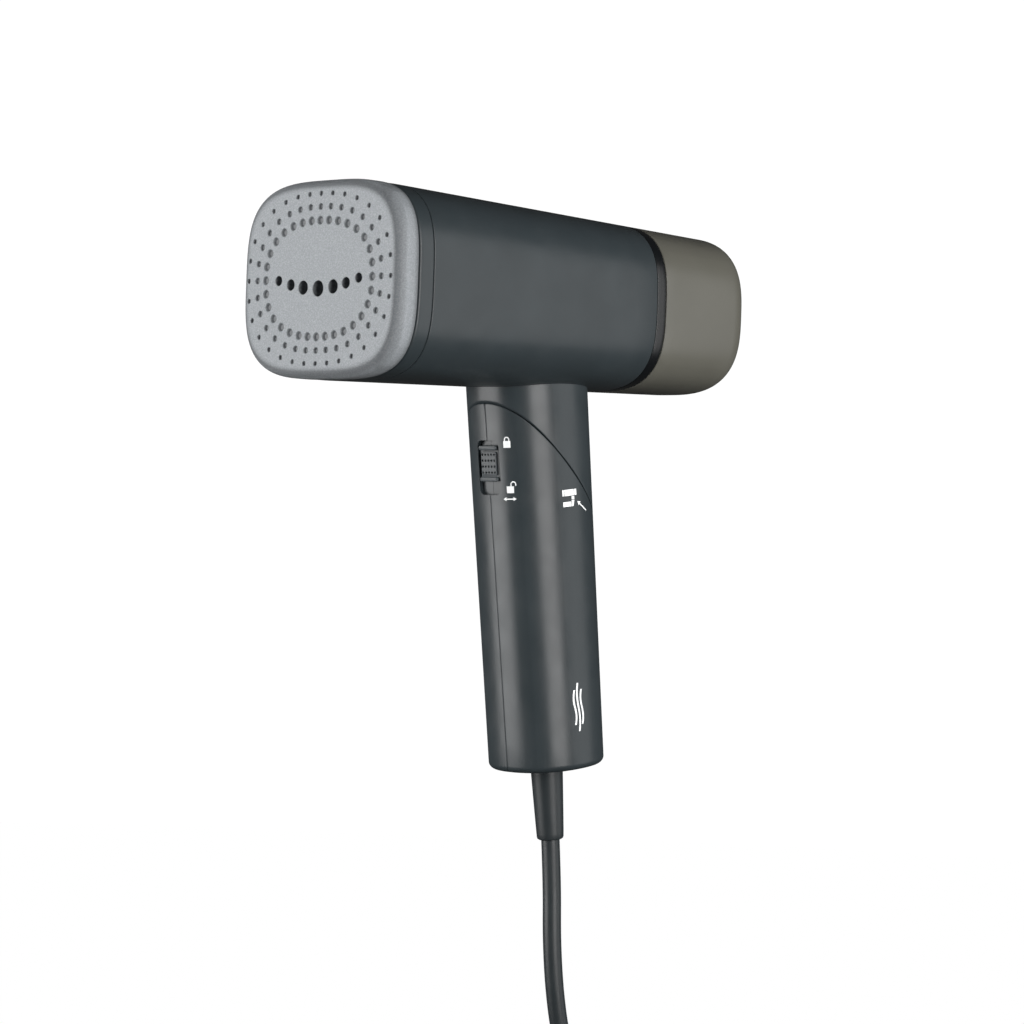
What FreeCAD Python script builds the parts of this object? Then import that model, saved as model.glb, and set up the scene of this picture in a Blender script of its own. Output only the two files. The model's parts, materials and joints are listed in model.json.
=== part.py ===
import FreeCAD, Part
import math
import os

# Handheld garment steamer with a twist-fold handle.
# Row frame, millimetres: the origin is the centre of the grip on the handle's axis, +Z is up,
# the steam plate faces -Y and the barrel runs along Y. Head pieces are drawn in a "head" frame
# (origin at the middle of the steam plate's face) and handle pieces in an upright "grip" frame
# (origin at the grip's centre, Z along the handle), and both are placed in the row frame at the end.

V = FreeCAD.Vector
PARTS = "parts"

# ---- driving dimensions ----
PLATE_TO_GRIP = 118.0          # steam face to grip centre, along Y
AXIS_HEIGHT = 120.0            # barrel axis above the grip centre
RAKE = 7.3                     # the handle's foot leans back by this angle

PLATE_HALF_W, PLATE_HALF_H = 40.8, 34.9
PLATE_THICK = 9.0
PLATE_EDGE = 4.5
PLATE_POWER = 3.5              # superellipse exponent of the plate's outline
BARREL_HALF_W, BARREL_HALF_H = 40.25, 34.8      # at the collar seam
TAPER_W, TAPER_H = 0.0412, 0.0262               # half-size lost per mm towards the rear
BARREL_POWER, REAR_POWER = 3.4, 2.9
COLLAR_START, SEAM, SEAM_GAP = 10.2, 17.0, 0.3
COLLAR_BEVEL = 0.8
BARREL_END, RING_END, TANK_END = 138.5, 143.5, 196.0
BARREL_WALL, TANK_WALL = 2.2, 2.0
TANK_GAP = 0.4
TANK_EDGE = 11.0

GRIP_FOOT = -53.0              # grip frame: lower end of the handle
GRIP_TOP = 112.0               # the grip's loft runs up into the barrel to here
GRIP_FOOT_HALF = (20.5, 21.0)
GRIP_TOP_HALF = (20.5, 23.2)
GRIP_POWER = 2.25
GRIP_WALL = 2.6
FOOT_WALL, FOOT_EDGE = 2.5, 2.6
SEAM_GROOVE_W, SEAM_GROOVE_D = 0.4, 0.5

PIVOT_Z = 59.0                 # grip frame: where the fold axis crosses the handle's axis
FOLD_TILT = (90.0 + RAKE) / 2  # fold axis from the handle's axis, so it folds flat to the barrel
SPLIT_GAP = 0.4
NECK_FLOOR = 3.2               # top of the neck's floor above the split
KEEPER_NEAR, KEEPER_DEPTH = 25.1, 3.6           # lock pockets, from the fold axis outwards
SWIVEL_R, SWIVEL_BORE = 9.95, 7.0
BUSH_BORE, BUSH_R = 10.0, 12.0

STEAM_HOLES = [(0.0, -3.5, 2.85), (7.7, -3.0, 2.5), (14.2, -1.9, 2.05), (20.6, -0.3, 1.8)]
DIMPLE_RINGS = [(27.4, 20.4, 0.90, 1.65), (31.9, 25.2, 0.96, 1.25), (36.5, 29.8, 1.0, 0.95)]
DIMPLES_PER_RING = 32
DIMPLE_POWER = 2.45
DIMPLE_DEPTH = 0.8

CORD_R = 3.5
CORD_D = 2 * CORD_R
FLOOR_Z = -215.0               # surface that the put-away cord lies on
TIE_THICK = 0.8
COIL_CENTRE = (-44.0, 95.0)
COIL_MEAN_R = 38.5
COIL_LAYERS = 3
RELIEF_LENGTH = 28.0


# ---- helpers ----
def outline(half_w, half_h, power, plane, at):
    """Closed superellipse curve in the XZ plane at y = at, or in the XY plane at z = at."""
    points = []
    count = 48
    for step in range(count):
        angle = 2 * math.pi * step / count
        c, s = math.cos(angle), math.sin(angle)
        radius = (abs(c / half_w) ** power + abs(s / half_h) ** power) ** (-1.0 / power)
        u, v = radius * c, radius * s
        points.append(V(u, at, v) if plane == "XZ" else V(u, v, at))
    curve = Part.BSplineCurve()
    curve.interpolate(Points=points, PeriodicFlag=True)
    return Part.Wire([curve.toShape()])


def barrel_half(y, inset=0.0):
    return (BARREL_HALF_W - TAPER_W * (y - SEAM) - inset,
            BARREL_HALF_H - TAPER_H * (y - SEAM) - inset)


def barrel_power(y):
    share = (y - SEAM) / (TANK_END - SEAM)
    return BARREL_POWER + (REAR_POWER - BARREL_POWER) * share


def barrel_core(y0, y1, inset=0.0):
    """Solid of the barrel's tapering form between two stations, set in by an even wall."""
    wires = []
    for y in (y0, y1):
        half_w, half_h = barrel_half(y, inset)
        wires.append(outline(half_w, half_h, barrel_power(y), "XZ", y))
    return Part.makeLoft(wires, True, True)


def slab(half_w, half_h, power, y0, y1):
    wires = [outline(half_w, half_h, power, "XZ", y) for y in (y0, y1)]
    return Part.makeLoft(wires, True, True)


def rounding(radius):
    """Steps of a quarter-round edge, from its start to the end face: (distance left, inset)."""
    steps = 7
    turns = [0.5 * math.pi * step / steps for step in range(steps + 1)]
    return [(radius * (1 - math.sin(t)), radius * (1 - math.cos(t))) for t in turns]


def grip_outline(z, inset=0.0):
    share = (z - GRIP_FOOT) / (GRIP_TOP - GRIP_FOOT)
    half = [a + (b - a) * share - inset for a, b in zip(GRIP_FOOT_HALF, GRIP_TOP_HALF)]
    return outline(half[0], half[1], GRIP_POWER, "XY", z)


def grip_core(z0, z1, inset=0.0):
    """Solid of the handle's form between two heights of the grip frame."""
    return Part.makeLoft([grip_outline(z0, inset), grip_outline(z1, inset)], True, True)


def box(x0, x1, y0, y1, z0, z1):
    return Part.makeBox(x1 - x0, y1 - y0, z1 - z0, V(x0, y0, z0))


def rod_y(radius, y0, y1, x=0.0, z=0.0):
    return Part.makeCylinder(radius, y1 - y0, V(x, y0, z), V(0, 1, 0))


def rod_z(radius, z0, z1, x=0.0, y=0.0):
    return Part.makeCylinder(radius, z1 - z0, V(x, y, z0), V(0, 0, 1))


def edges_at(shape, axis, value, tolerance=0.05):
    """Edges that lie wholly on one plane square to an axis."""
    chosen = []
    for edge in shape.Edges:
        low = getattr(edge.BoundBox, axis + "Min")
        high = getattr(edge.BoundBox, axis + "Max")
        if abs(low - value) < tolerance and abs(high - value) < tolerance:
            chosen.append(edge)
    return chosen


def along_fold(shape):
    """Places a shape drawn about +Z, with z = 0 at the split, on the fold axis (grip frame)."""
    moved = shape.copy()
    moved.rotate(V(0, 0, 0), V(1, 0, 0), -FOLD_TILT)
    moved.translate(V(0, 0, PIVOT_Z))
    return moved


def fold_slab(w0, w1):
    return along_fold(box(-80, 80, -120, 120, w0, w1))


def head_to_row(shape):
    moved = shape.copy()
    moved.translate(V(0, -PLATE_TO_GRIP, AXIS_HEIGHT))
    return moved


def grip_to_row(shape):
    moved = shape.copy()
    moved.rotate(V(0, 0, 0), V(1, 0, 0), RAKE)
    return moved


def bent_path(points):
    """Straight runs joined by tangent arcs; returns the wire and its arcs' radii."""
    edges, radii = [], []
    start = points[0]
    for before, corner, after in zip(points, points[1:], points[2:]):
        back, ahead = before - corner, after - corner
        reach = 0.45 * min(back.Length, ahead.Length)
        turn = math.pi - back.getAngle(ahead)
        radii.append(reach / math.tan(turn / 2))
        back.normalize()
        ahead.normalize()
        first, last = corner + back * reach, corner + ahead * reach
        to_centre = back + ahead
        to_centre.normalize()
        centre_far = radii[-1] / math.cos(turn / 2)
        middle = corner + to_centre * (centre_far - radii[-1])
        edges.append(Part.LineSegment(start, first).toShape())
        edges.append(Part.Arc(first, middle, last).toShape())
        start = last
    edges.append(Part.LineSegment(start, points[-1]).toShape())
    return Part.Wire(edges), radii


def tube(points, radius):
    wire, radii = bent_path(points)
    heading = points[1] - points[0]
    ring = Part.Wire([Part.makeCircle(radius, points[0], heading)])
    solid = wire.makePipeShell([ring], True, False)
    expected = math.pi * radius ** 2 * wire.Length
    if abs(solid.Volume - expected) > 0.01 * expected:
        raise ValueError("tube volume %.0f, expected %.0f" % (solid.Volume, expected))
    return solid, wire.Length, radii


def hose(points, outer, inner):
    return tube(points, outer)[0].cut(tube(points, inner)[0])


def group(shapes):
    return Part.makeCompound(shapes)


# ---- head: steam plate and heater ----
def steam_plate():
    wires = [outline(PLATE_HALF_W - inset, PLATE_HALF_H - inset, PLATE_POWER, "XZ", left)
             for left, inset in rounding(PLATE_EDGE)]
    plate = slab(PLATE_HALF_W, PLATE_HALF_H, PLATE_POWER, PLATE_EDGE, PLATE_THICK)
    plate = plate.fuse(Part.makeLoft(wires, True, False))
    tools = []
    for x, z, radius in STEAM_HOLES:
        for side in {x, -x}:
            tools.append(rod_y(radius, -1, PLATE_THICK + 1, side, z))
    for half_w, half_h, squeeze, radius in DIMPLE_RINGS:
        for step in range(DIMPLES_PER_RING):
            angle = 2 * math.pi * step / DIMPLES_PER_RING
            angle = math.atan2(squeeze * math.sin(angle), math.cos(angle))
            c, s = math.cos(angle), math.sin(angle)
            reach = (abs(c / half_w) ** DIMPLE_POWER
                     + abs(s / half_h) ** DIMPLE_POWER) ** (-1.0 / DIMPLE_POWER)
            tools.append(Part.makeCone(radius, 0.55 * radius, DIMPLE_DEPTH,
                                       V(reach * c, 0, reach * s), V(0, 1, 0)))
    return plate.cut(tools)


def plate_gasket():
    y0, y1 = PLATE_THICK, COLLAR_START
    return slab(39.6, 33.9, PLATE_POWER, y0, y1).cut(slab(35.0, 30.0, PLATE_POWER, y0 - 1, y1 + 1))


def front_collar():
    half_w, half_h = barrel_half(SEAM)
    lip = [outline(half_w - inset, half_h - inset, BARREL_POWER, "XZ", y)
           for y, inset in ((COLLAR_START, COLLAR_BEVEL), (COLLAR_START + COLLAR_BEVEL, 0.0))]
    ring = slab(half_w, half_h, BARREL_POWER, COLLAR_START + COLLAR_BEVEL, SEAM)
    ring = ring.fuse(Part.makeLoft(lip, True, True))
    return ring.cut(slab(half_w - 2.6, half_h - 2.6, BARREL_POWER, COLLAR_START - 1, SEAM + 1))


def chamber_gasket():
    y0, y1 = PLATE_THICK, PLATE_THICK + 1
    return slab(31, 26, 3.2, y0, y1).cut(slab(28, 23, 3.2, y0 - 1, y1 + 1))


def heating_element():
    route = [V(-18, 38, 12), V(-18, 22.5, 12), V(-18, 22.5, -14),
             V(18, 22.5, -14), V(18, 22.5, 12), V(18, 38, 12)]
    return tube(route, 3.6)[0]


def steam_chamber():
    y0 = PLATE_THICK + 1
    block = slab(32, 27, 3.2, y0, 28).cut(slab(28, 23, 3.2, y0 - 1, 16.5))
    block = block.cut(heating_element())
    return block.cut(rod_y(3.0, 15, 29, 0, 8))


def inlet_nozzle():
    return rod_y(3.0, 18, 38, 0, 8).cut(rod_y(1.2, 17, 39, 0, 8))


def thermostat():
    disc = rod_y(8.0, 28, 33.5, 0, -10)
    blades = group([box(x - 1.6, x + 1.6, 33.5, 41, -10.4, -9.6) for x in (-4.5, 4.5)])
    return disc.fuse(blades)


def thermal_fuse():
    return Part.makeCylinder(2.2, 14, V(-7, 30.2, 20), V(1, 0, 0))


def heat_shield():
    wall = slab(35.5, 30.5, 3.3, 12, 52).cut(slab(34.3, 29.3, 3.3, 11, 50.8))
    holes = [rod_y(6.0, 50, 53, 0, 0), rod_y(4.0, 50, 53, -20, 10), rod_y(4.0, 50, 53, 20, 10)]
    return wall.cut(holes)


# ---- head: barrel, neck, pump and dock ----
def neck_inside():
    return grip_to_row(grip_core(40, GRIP_TOP, 4.5))


def barrel_shell():
    start = SEAM + SEAM_GAP
    shell = barrel_core(start, BARREL_END).cut(barrel_core(start - 5, BARREL_END + 5, BARREL_WALL))
    return head_to_row(shell).cut(neck_inside())


def neck_shell():
    """Stub of the handle's form above the split, with a floor that carries the swivel."""
    stub = grip_core(-20, GRIP_TOP).common(fold_slab(SPLIT_GAP / 2, 200))
    stub = stub.cut(grip_core(-21, GRIP_TOP + 1, GRIP_WALL).common(fold_slab(NECK_FLOOR, 201)))
    keepers = [box(-3.5, 3.5, y, y + KEEPER_DEPTH, -1, 2.2)
               for y in (KEEPER_NEAR, -KEEPER_NEAR - KEEPER_DEPTH)]
    tools = [along_fold(tool) for tool in keepers + [rod_z(BUSH_R, -5, 10)]]
    return grip_to_row(stub.cut(tools)).cut(head_to_row(barrel_core(SEAM, RING_END)))


def neck_bush():
    bush = rod_z(BUSH_R, SPLIT_GAP / 2, 5.0).fuse(rod_z(14.0, 3.2, 5.0))
    return along_fold(bush.cut(rod_z(BUSH_BORE, -1, 6)))


def chassis():
    tray = box(-22, 22, 56, 116, -18, -16)
    saddles = [box(-14, 14, y, y + 6, -16, -4) for y in (62, 86)]
    tray = tray.fuse(saddles)
    posts = [box(x - 2, x + 2, y, y + 4, -16, 20) for x in (-20, 20) for y in (58, 108)]
    return tray.fuse(posts).cut(rod_y(15.0, 50, 120))


def pump_mounts():
    return group([rod_y(15.0, y, y + 6).cut(rod_y(13.0, y - 1, y + 7)) for y in (62, 86)])


def pump_body():
    body = rod_y(13.0, 58, 96).fuse([rod_y(3.0, 52, 58), rod_y(3.0, 96, 102)])
    bores = [rod_y(4.05, 64, 90), rod_y(1.3, 51, 65), rod_y(1.3, 89, 103)]
    return body.cut(bores)


def pump_plunger():
    return rod_y(4.0, 69, 85).cut(rod_y(1.2, 68, 86))


def outlet_hose():
    return hose([V(0, 57.5, 0), V(0, 49, 0), V(0, 42, 8), V(0, 34, 8)], 4.4, 3.0)


def inlet_hose():
    return hose([V(0, 96.5, 0), V(0, 106, 0), V(0, 114, -10), V(0, 123, -10)], 4.4, 3.0)


def control_board():
    return box(-20, 20, 56, 114, 20, 21.6)


def board_components():
    blocks = [box(-15, -2, 62, 76, 21.6, 26), box(4, 14, 62, 70, 21.6, 27)]
    cans = [Part.makeCylinder(4.5, 14, V(6, 84, 26.1), V(0, 1, 0)),
            Part.makeCylinder(3.0, 10, V(-10, 90, 24.6), V(0, 1, 0))]
    return group(blocks + cans)


def board_screws():
    screws = []
    for x in (-18, 18):
        for y in (60, 110):
            screws.append(rod_z(2.4, 21.6, 23.2, x, y))
    return group(screws)


SPIGOT_Z = -10.0


def dock_bulkhead():
    half_w, half_h = barrel_half(128, BARREL_WALL + 0.05)
    plate = slab(half_w, half_h, 3.0, 124, 128)
    plate = plate.fuse([rod_y(9.0, 128, 137, 0, SPIGOT_Z), rod_y(3.0, 116, 124, 0, SPIGOT_Z)])
    return plate.cut([rod_y(6.0, 127.5, 138, 0, SPIGOT_Z), rod_y(1.5, 115, 128, 0, SPIGOT_Z)])


def dock_seal():
    return rod_y(6.0, 131, 133.5, 0, SPIGOT_Z).cut(rod_y(5.05, 130, 134, 0, SPIGOT_Z))


def trim_ring():
    ring = barrel_core(BARREL_END + 0.1, RING_END, -0.05)
    return ring.cut(barrel_core(BARREL_END - 1, RING_END + 1, 3.0))


# ---- tank ----
TANK_START = RING_END + TANK_GAP
STOPPER_Y = 165.0
STOPPER_Z = -barrel_half(STOPPER_Y)[1]


def tank_form(inset, start=TANK_START):
    radius, end = TANK_EDGE - inset, TANK_END - inset
    wires = []
    for left, draw_in in rounding(radius):
        y = end - left
        half_w, half_h = barrel_half(y, inset + draw_in)
        wires.append(outline(half_w, half_h, barrel_power(y), "XZ", y))
    return barrel_core(start, end - radius, inset).fuse(Part.makeLoft(wires, True, False))


def tank_shell():
    hollow = tank_form(TANK_WALL, TANK_START - 1)
    boss = rod_z(10.5, STOPPER_Z - 3, STOPPER_Z + 5.5, 0, STOPPER_Y).common(tank_form(0.3))
    shell = tank_form(0).cut(hollow).fuse(boss)
    pocket = rod_z(8.4, STOPPER_Z - 4, STOPPER_Z + 1.7, 0, STOPPER_Y)
    return shell.cut(pocket).cut(rod_z(6.0, STOPPER_Z - 4, STOPPER_Z + 7, 0, STOPPER_Y))


def tank_bulkhead():
    half_w, half_h = barrel_half(TANK_START + 3, TANK_WALL + 0.05)
    plate = slab(half_w, half_h, 2.95, TANK_START, TANK_START + 2.5)
    plate = plate.fuse(rod_y(5.0, 129, TANK_START + 6, 0, SPIGOT_Z))
    return plate.cut(rod_y(3.0, 128, TANK_START + 7, 0, SPIGOT_Z))


def tank_valve():
    return rod_y(3.0, 129.5, 134, 0, SPIGOT_Z).cut(rod_y(0.6, 129, 135, 0, SPIGOT_Z))


def suction_tube():
    y0 = TANK_START + 1
    route = [V(0, y0, SPIGOT_Z), V(0, 153, SPIGOT_Z), V(0, 165, -19), V(0, 178, -19)]
    return hose(route, 2.95, 1.6)


def suction_filter():
    return rod_y(5.0, 178.0, 188, 0, -19).cut(rod_y(1.6, 177, 184, 0, -19))


def filler_stopper():
    cap = rod_z(8.0, STOPPER_Z + 0.3, STOPPER_Z + 1.6, 0, STOPPER_Y)
    return cap.fuse(rod_z(5.94, STOPPER_Z + 1.6, STOPPER_Z + 5.0, 0, STOPPER_Y))


# ---- handle ----
RECESS_Z0, RECESS_Z1 = 50.7, 70.9
KNOB_Z0, KNOB_Z1 = 55.7, 68.9
STEM_Z0, STEM_Z1 = 60.1, 64.3          # the slider's stem through the recess floor
LOCK_TRAVEL = 4.0
KNOB_HALF_W, RECESS_HALF_W = 4.7, 5.4
RECESS_DEPTH = 1.7
BUTTON_FIT = 0.3
STEAM_BUTTON = (7.0, 4.0, 26.0)        # half width, lower and upper end
POWER_BUTTON_R, POWER_BUTTON_Z = 5.5, -10.0
LENS_Z = -22.0
BOARD_Y = 8.6
BUTTON_Y = 15.6                        # inner face of the buttons' flanges
BOLT_TOP = 78.1
SCREW_SPOTS = [(-13.5, 40.0), (-13.5, -20.0), (13.5, -40.0)]


def front_face(z):
    """How far the handle's surface stands out at the front seam."""
    share = (z - GRIP_FOOT) / (GRIP_TOP - GRIP_FOOT)
    return GRIP_FOOT_HALF[1] + (GRIP_TOP_HALF[1] - GRIP_FOOT_HALF[1]) * share


def upright_pad(half_w, z0, z1, y0, y1, corner):
    pad = box(-half_w, half_w, y0, y1, z0, z1)
    upright = [e for e in pad.Edges if abs(e.BoundBox.YLength - (y1 - y0)) < 1e-6]
    return pad.makeFillet(corner, upright)


def handle_shells():
    wires = [grip_outline(GRIP_FOOT + left, inset) for left, inset in rounding(FOOT_EDGE)]
    outer = grip_core(GRIP_FOOT + FOOT_EDGE, GRIP_TOP).fuse(Part.makeLoft(wires, True, False))
    hollow = grip_core(GRIP_FOOT + FOOT_WALL, GRIP_TOP + 1, GRIP_WALL)
    shell = outer.cut(hollow).common(fold_slab(-200, -SPLIT_GAP / 2))
    groove = box(-SEAM_GROOVE_W / 2, SEAM_GROOVE_W / 2, -40, 40, -60, 130)
    groove = groove.cut(grip_core(GRIP_FOOT + SEAM_GROOVE_D, GRIP_TOP + 30, SEAM_GROOVE_D))
    face = front_face(60)
    cuts = [upright_pad(RECESS_HALF_W, RECESS_Z0, RECESS_Z1, -face - 3, -face + RECESS_DEPTH, 1.8),
            box(-2.2, 2.2, -face - 3, -face + 6, STEM_Z0 - LOCK_TRAVEL - 0.2, STEM_Z1 + 0.2),
            upright_pad(STEAM_BUTTON[0] + BUTTON_FIT, STEAM_BUTTON[1] - BUTTON_FIT,
                        STEAM_BUTTON[2] + BUTTON_FIT, 15, 30, 5.0),
            rod_y(POWER_BUTTON_R + BUTTON_FIT, 15, 30, 0, POWER_BUTTON_Z),
            rod_y(1.5, 15, 30, 0, LENS_Z),
            rod_z(5.6, GRIP_FOOT - 1, GRIP_FOOT + 5), groove]
    shell = shell.cut(cuts)
    right = shell.common(box(0, 40, -60, 60, -60, 130))
    left = shell.common(box(-40, 0, -60, 60, -60, 130))
    for y, z in SCREW_SPOTS:
        boss = Part.makeCylinder(3.2, 40, V(-20, y, z), V(1, 0, 0)).common(grip_core(-50, 80, 1.5))
        left = left.fuse(boss.common(box(-40, -0.1, -60, 60, -60, 130)))
        right = right.fuse(boss.common(box(0.1, 40, -60, 60, -60, 130)))
        left = left.cut([Part.makeCylinder(1.6, 40, V(-39, y, z), V(1, 0, 0)),
                         Part.makeCylinder(2.9, 30, V(-40, y, z), V(1, 0, 0))])
        right = right.cut(Part.makeCylinder(1.3, 10, V(0, y, z), V(1, 0, 0)))
    return left, right


def handle_screws():
    screws = []
    for y, z in SCREW_SPOTS:
        head = Part.makeCylinder(2.6, 1.8, V(-11.8, y, z), V(1, 0, 0))
        shank = Part.makeCylinder(1.3, 18.0, V(-10, y, z), V(1, 0, 0))
        socket = Part.makeCylinder(0.9, 1.0, V(-11.9, y, z), V(1, 0, 0))
        screws.append(head.fuse(shank).cut(socket))
    return group(screws)


def swivel_plate():
    plate = grip_core(-20, GRIP_TOP, GRIP_WALL).common(fold_slab(-3.2, -SPLIT_GAP / 2))
    plate = plate.fuse(along_fold(rod_z(SWIVEL_R, -3.2, 9.0)))
    plate = plate.cut(along_fold(rod_z(SWIVEL_BORE, -5, 12)))
    return plate.cut(box(-2.6, 2.6, -40, 6.6 - front_face(60), 60, 100))


def swivel_washer():
    return along_fold(rod_z(13.5, 5.1, 5.9).cut(rod_z(BUSH_BORE, 5, 6)))


def retaining_ring():
    return along_fold(rod_z(13.0, 6.0, 8.0).cut(rod_z(SWIVEL_R, 5.5, 8.5)))


def loom_sleeve():
    return along_fold(rod_z(3.5, -9, 16).cut(rod_z(2.7, -10, 17)))


def lock_slider():
    face = front_face(60)
    base = upright_pad(KNOB_HALF_W, KNOB_Z0, KNOB_Z1, -face + 0.9, -face + RECESS_DEPTH - 0.2, 1.0)
    bars = [box(-4.3, 4.3, -face - 0.4, -face + 1.0, z, z + 1.5) for z in (KNOB_Z0, KNOB_Z1 - 1.5)]
    pad = box(-3.7, 3.7, -face + 0.1, -face + 1.0, KNOB_Z0 + 2.2, KNOB_Z1 - 2.2)
    dimples = []
    for row in range(4):
        for column in range(5):
            spot = V(-3.0 + 1.5 * column, -face, KNOB_Z0 + 3.3 + 2.2 * row)
            dimples.append(Part.makeCylinder(0.42, 0.7, spot, V(0, 1, 0)))
    stem = box(-1.9, 1.9, -face + 1.2, -face + 3.6, STEM_Z0, STEM_Z1)
    return base.fuse(bars + [pad, stem]).cut(dimples)


def lock_bolt():
    face = front_face(60)
    return box(-2.2, 2.2, -face + 3.6, -face + 5.2, KNOB_Z0, BOLT_TOP)


def rear_button(form, flange, stem_z):
    surface = grip_core(-30, 50).common(form)
    return surface.fuse([flange, rod_y(2.5, BUTTON_Y - 3.2, BUTTON_Y + 0.6, 0, stem_z)])


def steam_button():
    half, z0, z1 = STEAM_BUTTON
    form = upright_pad(half, z0, z1, BUTTON_Y + 0.4, 30, 4.7)
    flange = upright_pad(half + 1.2, z0 - 1.2, z1 + 1.2, BUTTON_Y, BUTTON_Y + 1.6, 5.0)
    return rear_button(form, flange, (z0 + z1) / 2)


def power_button():
    form = rod_y(POWER_BUTTON_R, BUTTON_Y + 0.4, 30, 0, POWER_BUTTON_Z)
    flange = rod_y(POWER_BUTTON_R + 1.2, BUTTON_Y, BUTTON_Y + 1.6, 0, POWER_BUTTON_Z)
    return rear_button(form, flange, POWER_BUTTON_Z)


def indicator_lens():
    return grip_core(-30, 0).common(rod_y(1.45, 16, 30, 0, LENS_Z))


def button_board():
    return box(-11, 11, BOARD_Y, BOARD_Y + 1.6, -30, 30)


def tact_switches():
    y0 = BOARD_Y + 1.6
    middle = (STEAM_BUTTON[1] + STEAM_BUTTON[2]) / 2
    return group([box(-3, 3, y0, y0 + 0.9, z - 3, z + 3) for z in (middle, POWER_BUTTON_Z)])


def terminal_block():
    return box(-8, 8, -8, 4, -32, -20)


def cord_clamp():
    return box(-9, 9, 3.6, 8, -44, -38)


def strain_relief():
    top = GRIP_FOOT + FOOT_WALL
    flange = rod_z(8.0, top, top + 3.0)
    neck = rod_z(5.5, GRIP_FOOT, top)
    taper = Part.makeCone(5.1, 5.9, RELIEF_LENGTH, V(0, 0, GRIP_FOOT - RELIEF_LENGTH))
    piece = flange.fuse([neck, taper])
    piece = piece.makeFillet(0.8, edges_at(piece, "Z", GRIP_FOOT - RELIEF_LENGTH)[:1])
    return piece.cut(rod_z(CORD_R, GRIP_FOOT - RELIEF_LENGTH - 1, top + 5))


def cord_inner():
    """The cord's last stretch, from the strain relief up to the terminal block."""
    return rod_z(CORD_R, GRIP_FOOT - RELIEF_LENGTH, -32.0, 0, 0)


# ---- free cord, coil and plug (row frame) ----
def cord_exit():
    lean = math.radians(RAKE)
    reach = RELIEF_LENGTH - GRIP_FOOT
    return V(0, reach * math.sin(lean), -reach * math.cos(lean))


def lead_route():
    """Down from the strain relief, round in a wide bend and along the floor into the coil."""
    low = FLOOR_Z + TIE_THICK + CORD_R
    return [cord_exit(), V(0, 12.2, -98.0), V(0.4, 12.6, -119.0), V(0.6, 15.4, -141.0),
            V(0.6, 21.0, -161.0), V(0.8, 31.0, -179.0), V(1.0, 45.0, -194.5),
            V(1.3, 61.0, low + 4.5), V(1.5, 79.0, low)]


def coil_ring():
    z0 = FLOOR_Z + TIE_THICK
    x, y = COIL_CENTRE
    spread = COIL_LAYERS * CORD_R
    ring = rod_z(COIL_MEAN_R + spread, z0, z0 + COIL_LAYERS * CORD_D, x, y)
    ring = ring.cut(rod_z(COIL_MEAN_R - spread, z0 - 1, z0 + 30, x, y))
    return ring.makeFillet(3.0, [edge for edge in ring.Edges if edge.Closed])


PLUG_FACE_Y = COIL_CENTRE[1] - 104.0
PLUG_Z = FLOOR_Z + 18.6


def tail_route():
    """From the coil's top layer to the plug's sleeve."""
    x, y = COIL_CENTRE
    out = x - COIL_MEAN_R - CORD_D
    return [V(out + 0.4, y - 12, PLUG_Z - 0.4), V(out, y - 24, PLUG_Z),
            V(out, y - 36, PLUG_Z)]


def cord_tie():
    x, y = COIL_CENTRE
    spread = COIL_LAYERS * CORD_R
    r0, r1 = COIL_MEAN_R - spread, COIL_MEAN_R + spread
    top = FLOOR_Z + TIE_THICK + COIL_LAYERS * CORD_D
    outer = box(x - 5, x + 5, y + r0 - TIE_THICK, y + r1 + TIE_THICK, FLOOR_Z, top + TIE_THICK)
    return outer.cut(coil_ring()).cut(
        box(x - 6, x + 6, y + r0 + 1, y + r1 - 1, FLOOR_Z + TIE_THICK, top))


def plug_parts():
    end = tail_route()[-1]
    back = PLUG_FACE_Y + 34.0
    sleeve = Part.makeCone(6.4, 4.8, end.y - back, V(end.x, back, PLUG_Z), V(0, 1, 0))
    front = rod_y(18.5, PLUG_FACE_Y, PLUG_FACE_Y + 13, end.x, PLUG_Z)
    front = front.makeFillet(1.5, edges_at(front, "Y", PLUG_FACE_Y))
    rear = Part.makeCone(18.5, 8.5, 21, V(end.x, PLUG_FACE_Y + 13, PLUG_Z), V(0, 1, 0))
    body = front.fuse(rear)
    pins, holes = [], []
    for side in (-9.5, 9.5):
        root = rod_y(2.0, PLUG_FACE_Y - 0.5, PLUG_FACE_Y + 8, end.x + side, PLUG_Z)
        pin = rod_y(2.4, PLUG_FACE_Y - 19, PLUG_FACE_Y - 0.4, end.x + side, PLUG_Z)
        holes.append(root)
        pins.append(pin.makeFillet(0.8, edges_at(pin, "Y", PLUG_FACE_Y - 19)).fuse(root))
    return body.cut(holes), sleeve, group(pins)


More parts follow.
